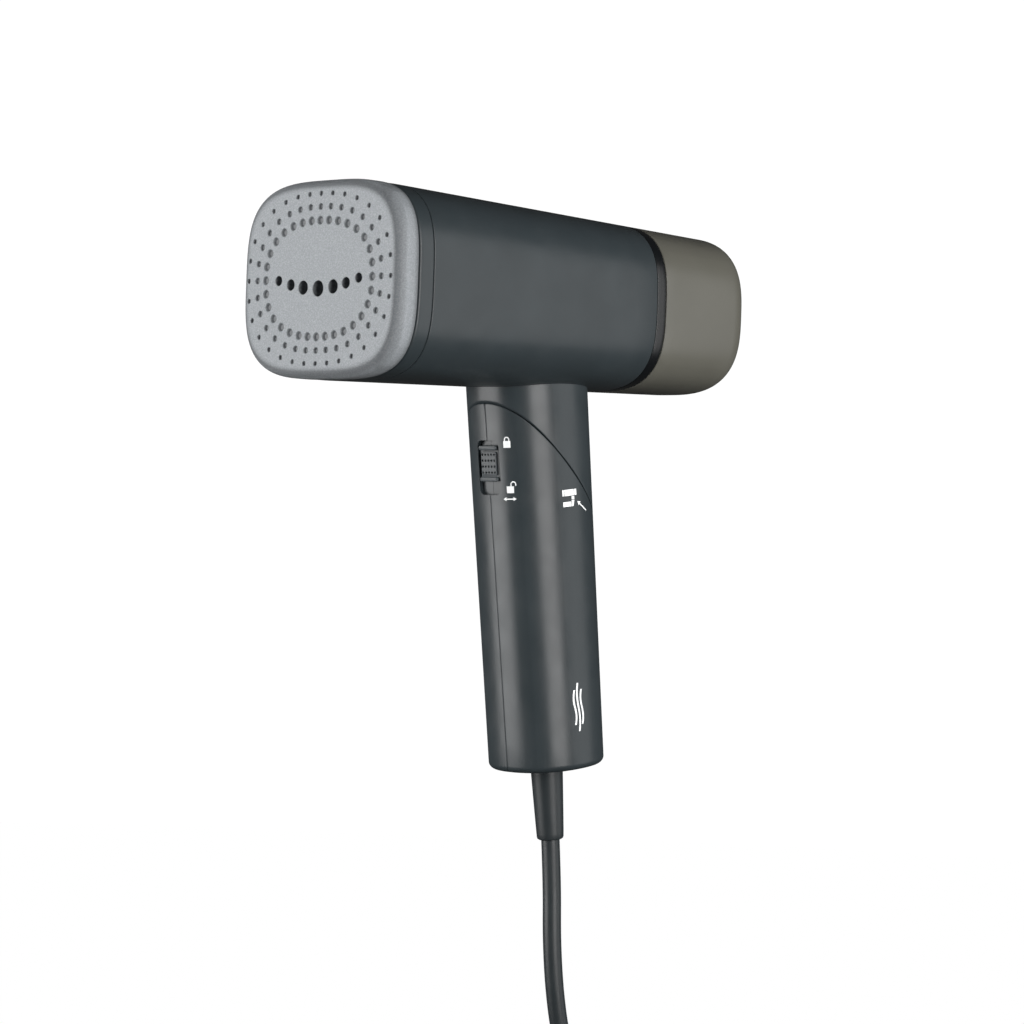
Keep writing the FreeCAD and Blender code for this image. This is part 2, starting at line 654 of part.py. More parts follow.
# ---- write every piece ----
def main():
    os.makedirs(PARTS, exist_ok=True)
    left, right = handle_shells()
    lead, lead_length, lead_radii = tube(lead_route(), CORD_R)
    tail, tail_length, tail_radii = tube(tail_route(), CORD_R)
    plug_body, plug_sleeve, plug_pins = plug_parts()
    head = {
        "steam_plate": steam_plate(), "plate_gasket": plate_gasket(),
        "front_collar": front_collar(), "chamber_gasket": chamber_gasket(),
        "heating_element": heating_element(), "steam_chamber": steam_chamber(),
        "inlet_nozzle": inlet_nozzle(), "thermostat": thermostat(),
        "thermal_fuse": thermal_fuse(), "heat_shield": heat_shield(), "chassis": chassis(),
        "pump_mounts": pump_mounts(), "pump_body": pump_body(), "pump_plunger": pump_plunger(),
        "outlet_hose": outlet_hose(), "inlet_hose": inlet_hose(),
        "control_board": control_board(), "board_components": board_components(),
        "board_screws": board_screws(), "dock_bulkhead": dock_bulkhead(),
        "dock_seal": dock_seal(), "trim_ring": trim_ring(), "tank_shell": tank_shell(),
        "tank_bulkhead": tank_bulkhead(), "tank_valve": tank_valve(),
        "suction_tube": suction_tube(), "suction_filter": suction_filter(),
        "filler_stopper": filler_stopper(),
    }
    grip = {
        "neck_bush": neck_bush(), "handle_shell_left": left, "handle_shell_right": right,
        "handle_screws": handle_screws(), "swivel_plate": swivel_plate(),
        "swivel_washer": swivel_washer(), "retaining_ring": retaining_ring(),
        "loom_sleeve": loom_sleeve(), "lock_slider": lock_slider(), "lock_bolt": lock_bolt(),
        "steam_button": steam_button(), "power_button": power_button(),
        "indicator_lens": indicator_lens(), "button_board": button_board(),
        "tact_switches": tact_switches(), "terminal_block": terminal_block(),
        "cord_clamp": cord_clamp(), "strain_relief": strain_relief(),
        "cord_inner": cord_inner(),
    }
    row = {
        "barrel_shell": barrel_shell(), "neck_shell": neck_shell(), "cord_lead": lead,
        "cord_coil": coil_ring(), "cord_tail": tail, "cord_tie": cord_tie(),
        "plug_body": plug_body, "plug_sleeve": plug_sleeve, "plug_pins": plug_pins,
    }
    row.update({name: head_to_row(shape) for name, shape in head.items()})
    row.update({name: grip_to_row(shape) for name, shape in grip.items()})
    for name, shape in sorted(row.items()):
        shape.exportStep(os.path.join(PARTS, name + ".step"))
        print("%-20s solids %d valid %s volume %.0f" % (name, len(shape.Solids), shape.isValid(),
                                                       shape.Volume))
    print("lead %.0f mm, radii %s" % (lead_length, ["%.0f" % r for r in lead_radii]))
    print("tail %.0f mm, radii %s" % (tail_length, ["%.0f" % r for r in tail_radii]))


main()
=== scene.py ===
import json
import math

import bmesh
import bpy
from mathutils import Matrix, Vector


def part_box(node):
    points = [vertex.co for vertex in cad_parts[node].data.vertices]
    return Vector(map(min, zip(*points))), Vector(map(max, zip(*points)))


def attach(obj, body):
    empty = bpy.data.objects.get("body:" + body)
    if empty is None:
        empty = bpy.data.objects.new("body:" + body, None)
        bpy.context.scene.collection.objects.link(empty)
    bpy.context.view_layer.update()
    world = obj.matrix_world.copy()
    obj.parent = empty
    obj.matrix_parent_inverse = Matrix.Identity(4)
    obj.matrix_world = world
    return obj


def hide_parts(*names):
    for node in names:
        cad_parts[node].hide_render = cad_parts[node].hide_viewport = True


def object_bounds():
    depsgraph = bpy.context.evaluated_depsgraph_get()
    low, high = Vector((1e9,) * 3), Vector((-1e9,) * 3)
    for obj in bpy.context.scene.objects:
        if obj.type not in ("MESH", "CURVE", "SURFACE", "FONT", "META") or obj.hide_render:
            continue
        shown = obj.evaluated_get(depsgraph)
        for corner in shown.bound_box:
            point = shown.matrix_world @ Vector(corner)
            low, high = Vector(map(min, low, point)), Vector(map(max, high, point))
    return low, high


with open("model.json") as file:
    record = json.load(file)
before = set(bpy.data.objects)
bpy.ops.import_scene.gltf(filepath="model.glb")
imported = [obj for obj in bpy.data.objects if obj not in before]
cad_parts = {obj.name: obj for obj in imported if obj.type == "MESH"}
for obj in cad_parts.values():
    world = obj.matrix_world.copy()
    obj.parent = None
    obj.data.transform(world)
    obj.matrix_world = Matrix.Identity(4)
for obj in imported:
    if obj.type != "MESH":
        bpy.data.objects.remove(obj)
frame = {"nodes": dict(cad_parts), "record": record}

CAD_BOX = [list(corner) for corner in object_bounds()]
MM = 0.001

# ---- sizes shared with the CAD, in millimetres ----
PLATE_TO_GRIP, AXIS_HEIGHT, RAKE = 118.0, 120.0, math.radians(7.3)
BARREL_HALF, TAPER = (40.25, 34.8), (0.0412, 0.0262)
SEAM, SEAM_GAP, COLLAR_START = 17.0, 0.3, 10.2
BARREL_END, RING_END, TANK_START, TANK_END = 138.5, 143.5, 143.9, 196.0
BARREL_POWER, REAR_POWER = 3.4, 2.9
BARREL_WALL, COLLAR_WALL, RING_WALL, TANK_WALL = 2.2, 2.6, 3.0, 2.0
TANK_EDGE = 11.0
GRIP_FOOT, GRIP_TOP = -53.0, 112.0
GRIP_FOOT_HALF, GRIP_TOP_HALF, GRIP_POWER = (20.5, 21.0), (20.5, 23.2), 2.25
GRIP_WALL, FOOT_EDGE = 2.6, 2.6
PIVOT_Z, FOLD_TILT = 59.0, math.radians(48.65)
SPLIT_GAP, PLATE_THICK = 0.4, 9.0
NECK_TOP = 96.0                # grip frame: the neck ends inside the barrel
RECESS_HALF_W, RECESS_Z, RECESS_DEPTH = 5.4, (50.7, 70.9), 2.2
SLOT_HALF_W, SLOT_Z = 2.2, (55.9, 64.5)
KNOB_Z, STEM_Z = (55.7, 68.9), (60.1, 64.3)
STEAM_HALF_W, STEAM_Z = 7.3, (3.7, 26.3)
POWER_Z, POWER_BORE, LENS_Z, LENS_BORE = -10, 5.8, -22, 1.5
SCREW_BORE, SCREW_SEAT_X = 2.9, -11.8
SCREW_SPOTS = ((-13.5, 40.0), (-13.5, -20.0), (13.5, -40.0))
STOPPER_BORE, CORD_BORE, BUSH_R = 8.4, 5.7, 12.0
FLOOR_Z, TIE_THICK, CORD_R = -215.0, 0.8, 3.5
COIL_CENTRE = (-44.0, 95.0)
RELIEF_LENGTH = 28.0


# ---- frames ----
def head_point(x, y, z):
    """Head frame in mm (origin in the steam plate's face) to the row frame in metres."""
    return Vector((x, y - PLATE_TO_GRIP, z + AXIS_HEIGHT)) * MM


def grip_point(x, y, z):
    """Grip frame in mm (upright handle) to the row frame in metres."""
    c, s = math.cos(RAKE), math.sin(RAKE)
    return Vector((x, y * c - z * s, y * s + z * c)) * MM


def grip_local(point):
    """Row frame in metres back to the grip frame in mm."""
    c, s = math.cos(RAKE), math.sin(RAKE)
    x, y, z = (value / MM for value in point)
    return x, y * c + z * s, -y * s + z * c


def superellipse(angle, half_w, half_h, power):
    """Point of a rounded rectangle's outline in the direction of angle."""
    c, s = math.cos(angle), math.sin(angle)
    radius = (abs(c / half_w) ** power + abs(s / half_h) ** power) ** (-1.0 / power)
    return radius * c, radius * s


def barrel_half(y, inset=0.0):
    """Half width and half height of the tapering barrel at y."""
    return [BARREL_HALF[i] - TAPER[i] * (y - SEAM) - inset for i in (0, 1)]


def barrel_power(y):
    """Exponent of the barrel's outline, rounder towards the rear."""
    return BARREL_POWER + (REAR_POWER - BARREL_POWER) * (y - SEAM) / (TANK_END - SEAM)


def grip_half(z, inset=0.0):
    """Half width and half depth of the handle at height z."""
    share = (z - GRIP_FOOT) / (GRIP_TOP - GRIP_FOOT)
    return [a + (b - a) * share - inset for a, b in zip(GRIP_FOOT_HALF, GRIP_TOP_HALF)]


# ---- node helpers ----
class Shader:
    """A material with a Principled shader and a few one-line ways to add nodes."""

    def __init__(self, name, color, roughness, **sockets):
        self.material = bpy.data.materials.new(name)
        self.material.use_nodes = True
        self.tree = self.material.node_tree
        self.bsdf = self.tree.nodes["Principled BSDF"]
        self.bsdf.inputs["Base Color"].default_value = (*color, 1)
        self.bsdf.inputs["Roughness"].default_value = roughness
        for label, value in sockets.items():
            self.bsdf.inputs[label.replace("_", " ")].default_value = value
        self.where = self.tree.nodes.new("ShaderNodeTexCoord").outputs["Object"]

    def noise(self, scale, detail=3.0, rough=0.55, stretch=None):
        where = self.where
        if stretch:
            mapping = self.tree.nodes.new("ShaderNodeMapping")
            mapping.inputs["Scale"].default_value = stretch
            self.tree.links.new(where, mapping.inputs["Vector"])
            where = mapping.outputs["Vector"]
        node = self.tree.nodes.new("ShaderNodeTexNoise")
        node.inputs["Scale"].default_value = scale
        node.inputs["Detail"].default_value = detail
        node.inputs["Roughness"].default_value = rough
        self.tree.links.new(where, node.inputs["Vector"])
        return node.outputs["Fac"]

    def along(self, axis):
        node = self.tree.nodes.new("ShaderNodeSeparateXYZ")
        self.tree.links.new(self.where, node.inputs["Vector"])
        return node.outputs[axis]

    def times(self, *values):
        node = self.tree.nodes.new("ShaderNodeVectorMath")
        node.operation = "MULTIPLY"
        for socket, value in zip(node.inputs, values):
            self.tree.links.new(value, socket)
        return node.outputs["Vector"]

    def ramp(self, value, stops):
        node = self.tree.nodes.new("ShaderNodeValToRGB")
        ramp = node.color_ramp
        while len(ramp.elements) < len(stops):
            ramp.elements.new(0.5)
        for element, (position, color) in zip(ramp.elements, stops):
            element.position = position
            element.color = (*color, 1) if len(color) == 3 else color
        self.tree.links.new(value, node.inputs["Fac"])
        return node.outputs["Color"]

    def remap(self, value, low, high, start=0.3, end=0.7):
        node = self.tree.nodes.new("ShaderNodeMapRange")
        for label, number in (("From Min", start), ("From Max", end), ("To Min", low),
                              ("To Max", high)):
            node.inputs[label].default_value = number
        self.tree.links.new(value, node.inputs["Value"])
        return node.outputs["Result"]

    def drive(self, label, value):
        self.tree.links.new(value, self.bsdf.inputs[label])
        return self

    def bump(self, *layers):
        """Layers of (height, strength, distance in metres), one on top of the other."""
        below = None
        for height, strength, distance in layers:
            node = self.tree.nodes.new("ShaderNodeBump")
            node.inputs["Strength"].default_value = strength
            node.inputs["Distance"].default_value = distance
            self.tree.links.new(height, node.inputs["Height"])
            if below:
                self.tree.links.new(below, node.inputs["Normal"])
            below = node.outputs["Normal"]
        self.tree.links.new(below, self.bsdf.inputs["Normal"])
        return self


def shade_pair(color, spread):
    """A darker and a lighter version of a colour."""
    return [tuple(channel * (1 + sign * spread) for channel in color) for sign in (-1, 1)]


def moulded(name, color, roughness, spread=0.08, grain=2600.0, depth=0.00002, **sockets):
    """Moulded plastic: slight colour drift, roughness patches and a fine spark-eroded grain."""
    shader = Shader(name, color, roughness, **sockets)
    dark, light = shade_pair(color, spread)
    shader.drive("Base Color", shader.ramp(shader.noise(38.0), [(0.3, dark), (0.7, light)]))
    patches = shader.remap(shader.noise(90.0, 4.0), roughness - 0.05, roughness + 0.05)
    shader.drive("Roughness", patches)
    shader.bump((shader.noise(grain, 2.0), 0.35, depth))
    return shader.material


def plate_metal():
    """Coated aluminium: satin and sparkling, with painted shade in the dimples and round the rim.
    """
    color = (0.25, 0.266, 0.28)
    front = min(vertex.co.y for vertex in frame["nodes"]["steam_plate"].data.vertices)
    shader = Shader("steam_plate_metal", color, 0.55, Metallic=0.1, Specular_IOR_Level=0.4)
    grain = shader.noise(1900.0, 2.0, 0.7)
    dark, light = (0.21, 0.226, 0.239), (0.325, 0.341, 0.356)
    grains = shader.ramp(grain, [(0.30, dark), (0.5, color), (0.72, light)])
    depth = shader.remap(shader.along("Y"), 0.0, 1.0, front, front + PLATE_THICK * MM)
    # Painted shade: the colour darkens with depth behind the face, in the dimple walls and on the
    # rim. It lightens again part-way round the rim as a painted highlight, and is darkest at the
    # back.
    painted_shade = shader.ramp(depth, [(share, (level, level, level)) for share, level in
                               ((0.0, 1.0), (0.02, 0.85), (0.06, 0.5), (0.1, 0.52), (0.25, 0.72),
                                (0.5, 0.9), (0.8, 0.8), (1.0, 0.35))])
    shader.drive("Base Color", shader.times(grains, painted_shade))
    shader.drive("Roughness", shader.remap(shader.noise(1400.0, 2.0), 0.44, 0.58))
    shader.bump((grain, 0.25, 0.00002))
    return shader.material


def smoke_tank():
    """Smoked clear plastic with a satin skin."""
    color = (0.074, 0.072, 0.060)
    shader = Shader("tank_smoke", color, 0.33, Coat_Weight=0.25, Coat_Roughness=0.25, IOR=1.5)
    dark, light = shade_pair(color, 0.05)
    shader.drive("Base Color", shader.ramp(shader.noise(30.0), [(0.3, dark), (0.7, light)]))
    shader.drive("Roughness", shader.remap(shader.noise(70.0, 4.0), 0.29, 0.37))
    shader.bump((shader.noise(2400.0, 2.0), 0.2, 0.00001))
    return shader.material


def gloss_trim():
    """Near-black polished plastic."""
    shader = Shader("gloss_trim", (0.002, 0.0025, 0.003), 0.27, Coat_Weight=0.3,
                    Coat_Roughness=0.2)
    shader.drive("Roughness", shader.remap(shader.noise(60.0), 0.25, 0.29))
    shader.bump((shader.noise(25.0), 0.05, 0.0001))
    return shader.material


def metal(name, color, roughness, stretch=None):
    """Bare metal with a fine grain, brushed along one way where stretch is given."""
    shader = Shader(name, color, roughness, Metallic=1.0)
    grain = shader.noise(900.0, 3.0, 0.6, stretch)
    shader.drive("Roughness", shader.remap(grain, roughness - 0.07, roughness + 0.07))
    shader.bump((grain, 0.15, 0.00002))
    return shader.material


def cord_sheath():
    """Black rubbery sheath of the cord, its sleeve and the plug."""
    color = (0.012, 0.015, 0.0165)
    shader = Shader("cord_jacket", color, 0.38, Specular_IOR_Level=0.5)
    dark, light = shade_pair(color, 0.12)
    shader.drive("Base Color", shader.ramp(shader.noise(60.0), [(0.3, dark), (0.7, light)]))
    shader.drive("Roughness", shader.remap(shader.noise(140.0, 4.0), 0.34, 0.42))
    shader.bump((shader.noise(1500.0, 3.0), 0.3, 0.00003))
    return shader.material


def printed_white():
    """Pad-printed ink, matt and slightly uneven."""
    shader = Shader("printed_white", (0.82, 0.83, 0.83), 0.5)
    shader.drive("Roughness", shader.remap(shader.noise(700.0), 0.42, 0.58))
    shader.bump((shader.noise(1800.0), 0.2, 0.00001))
    return shader.material


def lens_material():
    """Clear plastic of the indicator."""
    shader = Shader("lens_clear", (0.7, 0.8, 0.85), 0.2, Transmission_Weight=0.4)
    shader.drive("Roughness", shader.remap(shader.noise(300.0), 0.15, 0.25))
    return shader.material


MATERIALS = {
    "soft_touch_shell": moulded("soft_touch_shell", (0.017, 0.022, 0.0245), 0.33,
                                Specular_IOR_Level=0.6),
    "control_plastic": moulded("control_plastic", (0.034, 0.041, 0.045), 0.42, grain=1800.0),
    "steam_plate_metal": plate_metal(),
    "cast_chamber": metal("cast_chamber", (0.52, 0.52, 0.5), 0.55),
    "steel": metal("steel", (0.52, 0.52, 0.52), 0.35, (1, 14, 1)),
    "screw_steel": metal("screw_steel", (0.4, 0.41, 0.43), 0.35),
    "pin_metal": metal("pin_metal", (0.72, 0.7, 0.65), 0.2),
    "nozzle_brass": metal("nozzle_brass", (0.7, 0.52, 0.24), 0.3),
    "silicone": moulded("silicone", (0.018, 0.019, 0.02), 0.6, 0.15, 900.0, 0.00004),
    "gloss_trim": gloss_trim(),
    "tank_smoke": smoke_tank(),
    "tank_front_plastic": moulded("tank_front_plastic", (0.12, 0.115, 0.10), 0.35),
    "inner_plastic": moulded("inner_plastic", (0.08, 0.08, 0.085), 0.55),
    "circuit_board": moulded("circuit_board", (0.02, 0.14, 0.07), 0.4, 0.2, 700.0),
    "component_plastic": moulded("component_plastic", (0.03, 0.03, 0.03), 0.5),
    "lens_clear": lens_material(),
    "cord_jacket": cord_sheath(),
    "tie_strap": moulded("tie_strap", (0.02, 0.02, 0.021), 0.6, 0.2, 1200.0),
}
PRINT_WHITE = printed_white()


def dress_cad_nodes():
    """Gives every CAD node the material of its slot in the record."""
    slots = {row["node"]: row["material_slot"] for row in frame["record"]["subparts"]}
    for node, obj in frame["nodes"].items():
        obj.data.materials.clear()
        obj.data.materials.append(MATERIALS[slots[node]])


# ---- mesh helpers ----
def new_object(name, mesh, material):
    """Links a new object with one material to the scene."""
    obj = bpy.data.objects.new(name, mesh)
    bpy.context.scene.collection.objects.link(obj)
    obj.data.materials.append(material)
    return obj


def face_outwards(build):
    """Turns all faces of a closed mesh outwards."""
    bmesh.ops.recalc_face_normals(build, faces=build.faces)
    if build.calc_volume(signed=True) < 0:
        bmesh.ops.reverse_faces(build, faces=build.faces)


def lofted(name, rings, material, ends="wrap"):
    """Skin over rings of equal length.

    ends: 'wrap' joins last to first, 'cap' closes both, 'none' leaves both open.
    """
    build = bmesh.new()
    rows = [[build.verts.new(point) for point in ring] for ring in rings]
    pairs = list(zip(rows, rows[1:]))
    if ends == "wrap":
        pairs.append((rows[-1], rows[0]))
    for low, high in pairs:
        for i in range(len(low)):
            j = (i + 1) % len(low)
            build.faces.new((low[i], low[j], high[j], high[i]))
    if ends == "cap":
        build.faces.new(list(reversed(rows[0])))
        build.faces.new(rows[-1])
    face_outwards(build)
    mesh = bpy.data.meshes.new(name)
    build.to_mesh(mesh)
    build.free()
    return new_object(name, mesh, material)


def smooth(obj, degrees=35.0):
    """Smooth shading with sharp edges above an angle."""
    for polygon in obj.data.polygons:
        polygon.use_smooth = True
    obj.data.set_sharp_from_angle(angle=math.radians(degrees))
    return obj


def apply_modifier(obj, modifier):
    """Turns a modifier into plain mesh."""
    bpy.context.view_layer.objects.active = obj
    with bpy.context.temp_override(object=obj, active_object=obj, selected_objects=[obj]):
        bpy.ops.object.modifier_apply(modifier=modifier.name)


def carve(obj, *cutters):
    """Cuts each cutter from the piece."""
    for cutter in cutters:
        modifier = obj.modifiers.new("cut", "BOOLEAN")
        modifier.operation = "DIFFERENCE"
        modifier.solver = "EXACT"
        modifier.object = cutter
        apply_modifier(obj, modifier)
    return obj


def discard(*objects):
    """Removes helper objects."""
    for obj in objects:
        bpy.data.objects.remove(obj, do_unlink=True)


def settle_normals(obj, form_normal, tolerance=12.0):
    """Keeps the form's own normals on its outer skin, so that cuts leave no shading marks."""
    smooth(obj)
    mesh = obj.data
    closest = math.cos(math.radians(tolerance))
    normals = [Vector(corner.vector) for corner in mesh.corner_normals]
    for polygon in mesh.polygons:
        flat = polygon.normal
        for corner in polygon.loop_indices:
            exact = form_normal(mesh.vertices[mesh.loops[corner].vertex_index].co)
            if exact is not None and exact.dot(flat) > closest:
                normals[corner] = exact
    mesh.normals_split_custom_set(normals)


# ---- barrel, collar, ring and tank ----
AROUND = 288                   # points round the barrel and the neck


def barrel_ring(y, inset=0.0, half=None, power=None):
    """Closed ring of points on the barrel's form, or on a given outline, at y."""
    half_w, half_h = half or barrel_half(y)
    points = []
    for step in range(AROUND):
        angle = 2 * math.pi * step / AROUND
        x, z = superellipse(angle, half_w - inset, half_h - inset, power or barrel_power(y))
        points.append(head_point(x, y, z))
    return points


def quarter(radius, steps=5):
    """(distance left to the end, inset) round a quarter-round edge."""
    turns = [0.5 * math.pi * step / steps for step in range(steps + 1)]
    return [(radius * (1 - math.sin(t)), radius * (1 - math.cos(t))) for t in turns]


def barrel_tube(name, material, y0, y1, wall, edges, power=None, half=None, stations=10):
    """Hollow length of the barrel's form with softened front and rear edges."""
    front, rear = edges
    rings = []
    for left, inset in reversed(quarter(front)):
        rings.append(barrel_ring(y0 + left, inset, half, power))
    span = (y1 - rear) - (y0 + front)
    for step in range(1, stations):
        rings.append(barrel_ring(y0 + front + span * step / stations, 0.0, half, power))
    for left, inset in quarter(rear):
        rings.append(barrel_ring(y1 - left, inset, half, power))
    rings.append(barrel_ring(y1, wall, half, power))
    rings.append(barrel_ring(y0, wall, half, power))
    return smooth(lofted(name, rings, material), 40)


def make_barrel():
    """Barrel, front collar and gloss ring."""
    shell = MATERIALS["soft_touch_shell"]
    barrel = barrel_tube("barrel_skin", shell, SEAM + SEAM_GAP, BARREL_END, BARREL_WALL,
                         (0.5, 0.35))
    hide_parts("barrel_shell")
    collar = barrel_tube("collar_skin", shell, COLLAR_START, SEAM, COLLAR_WALL, (0.9, 0.35),
                         BARREL_POWER, BARREL_HALF, 3)
    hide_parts("front_collar")
    ring = barrel_tube("gloss_ring", MATERIALS["gloss_trim"], BARREL_END + 0.15, RING_END,
                       RING_WALL, (0.35, 0.35), stations=3)
    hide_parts("trim_ring")
    for piece, name in ((barrel, "soft_touch_shell"), (collar, "soft_touch_shell"),
                        (ring, "gloss_trim")):
        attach(piece, "head")


def make_tank():
    """Closed shell with one smooth rounded end and the stopper's pocket in its underside."""
    rings = [barrel_ring(TANK_START + left, inset) for left, inset in reversed(quarter(0.4))]
    for step in range(1, 8):
        rings.append(barrel_ring(TANK_START + (TANK_END - TANK_EDGE - TANK_START) * step / 8))
    for left, inset in quarter(TANK_EDGE, 18):
        rings.append(barrel_ring(TANK_END - left, inset))
    for share in (0.85, 0.65, 0.4, 0.15):
        half = [side * share for side in barrel_half(TANK_END, TANK_EDGE)]
        rings.append(barrel_ring(TANK_END, 0.0, half, 2.6))
    inner = []
    for left, inset in reversed(quarter(TANK_EDGE - TANK_WALL, 10)):
        inner.append(barrel_ring(TANK_END - TANK_WALL - left, inset + TANK_WALL))
    inner.append(barrel_ring(TANK_START, TANK_WALL))
    tank = lofted("tank_skin", rings, MATERIALS["tank_smoke"], "none")
    build = bmesh.new()
    build.from_mesh(tank.data)
    build.verts.ensure_lookup_table()
    end = [build.verts[(len(rings) - 1) * AROUND + i] for i in range(AROUND)]
    build.faces.new(end)
    rows = [[build.verts.new(point) for point in ring] for ring in inner]
    build.faces.new(rows[0])
    build.verts.ensure_lookup_table()
    front = [build.verts[i] for i in range(AROUND)]
    for low, high in list(zip(rows, rows[1:])) + [(rows[-1], front)]:
        for i in range(AROUND):
            j = (i + 1) % AROUND
            build.faces.new((low[i], low[j], high[j], high[i]))
    face_outwards(build)
    build.to_mesh(tank.data)
    build.free()
    low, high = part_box("filler_stopper")
    centre = (low + high) / 2
    pocket = round_cutter(Vector((centre.x, centre.y, low.z - 0.004)),
                          Vector((centre.x, centre.y, high.z - 0.0034)), STOPPER_BORE)
    carve(tank, pocket)
    discard(pocket)
    smooth(tank, 30)
    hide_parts("tank_shell")
    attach(tank, "tank")


def round_cutter(start, end, radius, sides=64):
    """Round rod between two points, radius in mm, for cutting holes."""
    build = bmesh.new()
    length = (end - start).length
    turn = (end - start).to_track_quat("Z", "Y").to_matrix().to_4x4()
    place = Matrix.Translation((start + end) / 2) @ turn
    bmesh.ops.create_cone(build, cap_ends=True, segments=sides, radius1=radius * MM,
                          radius2=radius * MM, depth=length, matrix=place)
    face_outwards(build)
    mesh = bpy.data.meshes.new("cutter")
    build.to_mesh(mesh)
    build.free()
    return new_object("cutter", mesh, MATERIALS["inner_plastic"])


def pad_cutter(half_w, z0, z1, y0, y1, corner):
    """Rounded upright prism in the grip frame."""
    outline = []
    for cx, cz, start in ((half_w - corner, z1 - corner, 0), (corner - half_w, z1 - corner, 90),
                          (corner - half_w, z0 + corner, 180), (half_w - corner, z0 + corner, 270)):
        for step in range(9):
            angle = math.radians(start + 90 * step / 8)
            outline.append((cx + corner * math.cos(angle), cz + corner * math.sin(angle)))
    rings = [[grip_point(x, y, z) for x, z in outline] for y in (y0, y1)]
    return lofted("cutter", rings, MATERIALS["inner_plastic"], "cap")


# ---- neck and handle ----
def split_z(y, side):
    """Height of the oblique split at y in the grip frame, on its head or handle side."""
    return PIVOT_Z + side * SPLIT_GAP / 2 / math.cos(FOLD_TILT) - y * math.tan(FOLD_TILT)


def grip_xy(angle, z, inset=0.0):
    """Point of the handle's outline at height z in the direction of angle."""
    half_w, half_h = grip_half(z, inset)
    return superellipse(angle, half_w, half_h, GRIP_POWER)


def split_ring(angles, side, inset, rise):
    """Ring on the split plane, or a little way off it, following the grip's outline."""
    ring = []
    for angle in angles:
        z = PIVOT_Z
        for _ in range(6):
            x, y = grip_xy(angle, z, inset)
            z = split_z(y, side) + side * rise
        ring.append((x, y, z))
    return ring


def between(low, high, share):
    """Ring part of the way from one ring to another."""
    return [tuple(a + (b - a) * share for a, b in zip(p, q)) for p, q in zip(low, high)]


def make_neck():
    """Neck under the barrel, with the floor that faces the handle across the split."""
    angles = [2 * math.pi * step / AROUND for step in range(AROUND)]
    edge = 0.35
    rings = [split_ring(angles, 1, edge, 0.0), split_ring(angles, 1, edge * 0.3, edge * 0.35),
             split_ring(angles, 1, 0.0, edge * 1.3)]
    top = [(*grip_xy(angle, NECK_TOP), NECK_TOP) for angle in angles]
    for share in (0.25, 0.5, 0.75, 1.0):
        rings.append(between(rings[2], top, share))
    rings.append([(*grip_xy(angle, NECK_TOP, GRIP_WALL), NECK_TOP) for angle in angles])
    rings.append(split_ring(angles, 1, GRIP_WALL, 0.0))
    neck = lofted("neck_skin", [[grip_point(*p) for p in ring] for ring in rings],
                  MATERIALS["soft_touch_shell"])
    settle_normals(neck, grip_normal)
    floor_ring = [split_ring(angles, 1, GRIP_WALL + 0.02, 0.0),
                  split_ring(angles, 1, GRIP_WALL + 0.02, 4.0)]
    floor = lofted("neck_floor", [[grip_point(*p) for p in ring] for ring in floor_ring],
                   MATERIALS["inner_plastic"], "cap")
    up = Vector((0, math.sin(FOLD_TILT - RAKE), math.cos(FOLD_TILT - RAKE)))
    pivot = grip_point(0, 0, PIVOT_Z)
    bore = round_cutter(pivot - up * 0.01, pivot + up * 0.01, BUSH_R)
    carve(floor, bore)
    discard(bore)
    smooth(floor)
    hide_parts("neck_shell")
    for piece, name in ((neck, "soft_touch_shell"), (floor, "inner_plastic")):
        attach(piece, "head")


def grip_normal(point):
    """Outward normal of the grip's outer form, or None away from its surface."""
    x, y, z = grip_local(point)
    half_w, half_h = grip_half(z)
    u, v = abs(x / half_w), abs(y / half_h)
    level = (u ** GRIP_POWER + v ** GRIP_POWER) ** (1 / GRIP_POWER)
    if abs(level - 1) > 0.004 or z < GRIP_FOOT + FOOT_EDGE:
        return None
    local = Vector((math.copysign(u ** (GRIP_POWER - 1) / half_w, x),
                    math.copysign(v ** (GRIP_POWER - 1) / half_h, y), 0)).normalized()
    return (grip_point(*local) / MM).normalized()


def make_handle_half(name, side):
    """Half of the handle: outer skin from one seam to the other, back along the inside."""
    seam, bevel = 0.003, 0.12
    count = 144
    if side > 0:
        first, last = -0.5 * math.pi + seam, 0.5 * math.pi - seam
    else:
        first, last = 0.5 * math.pi + seam, 1.5 * math.pi - seam
    angles = [first + (last - first) * step / count for step in range(count + 1)]

    def profile(outer_inset, place):
        outer = [place(angle, outer_inset + (bevel if i in (0, count) else 0.0))
                 for i, angle in enumerate(angles)]
        inner = [place(angle, max(GRIP_WALL, outer_inset + 0.4)) for angle in angles]
        return outer + list(reversed(inner))

    def at_height(z):
        return lambda angle, inset: (*grip_xy(angle, z, inset), z)

    def at_split(rise):
        def place(angle, inset):
            return split_ring([angle], -1, inset, rise)[0]
        return place

    rings = []
    for left, inset in reversed(quarter(FOOT_EDGE, 8)):
        rings.append(profile(inset, at_height(GRIP_FOOT + left)))
    upper = profile(0.0, at_split(0.45))
    base = rings[-1]
    for step in range(1, 17):
        rings.append(between(base, upper, step / 16))
    rings.append(profile(0.12, at_split(0.12)))
    rings.append(profile(0.35, at_split(0.0)))
    points = [[grip_point(*p) for p in ring] for ring in rings]
    return lofted(name, points, MATERIALS["soft_touch_shell"], "cap")


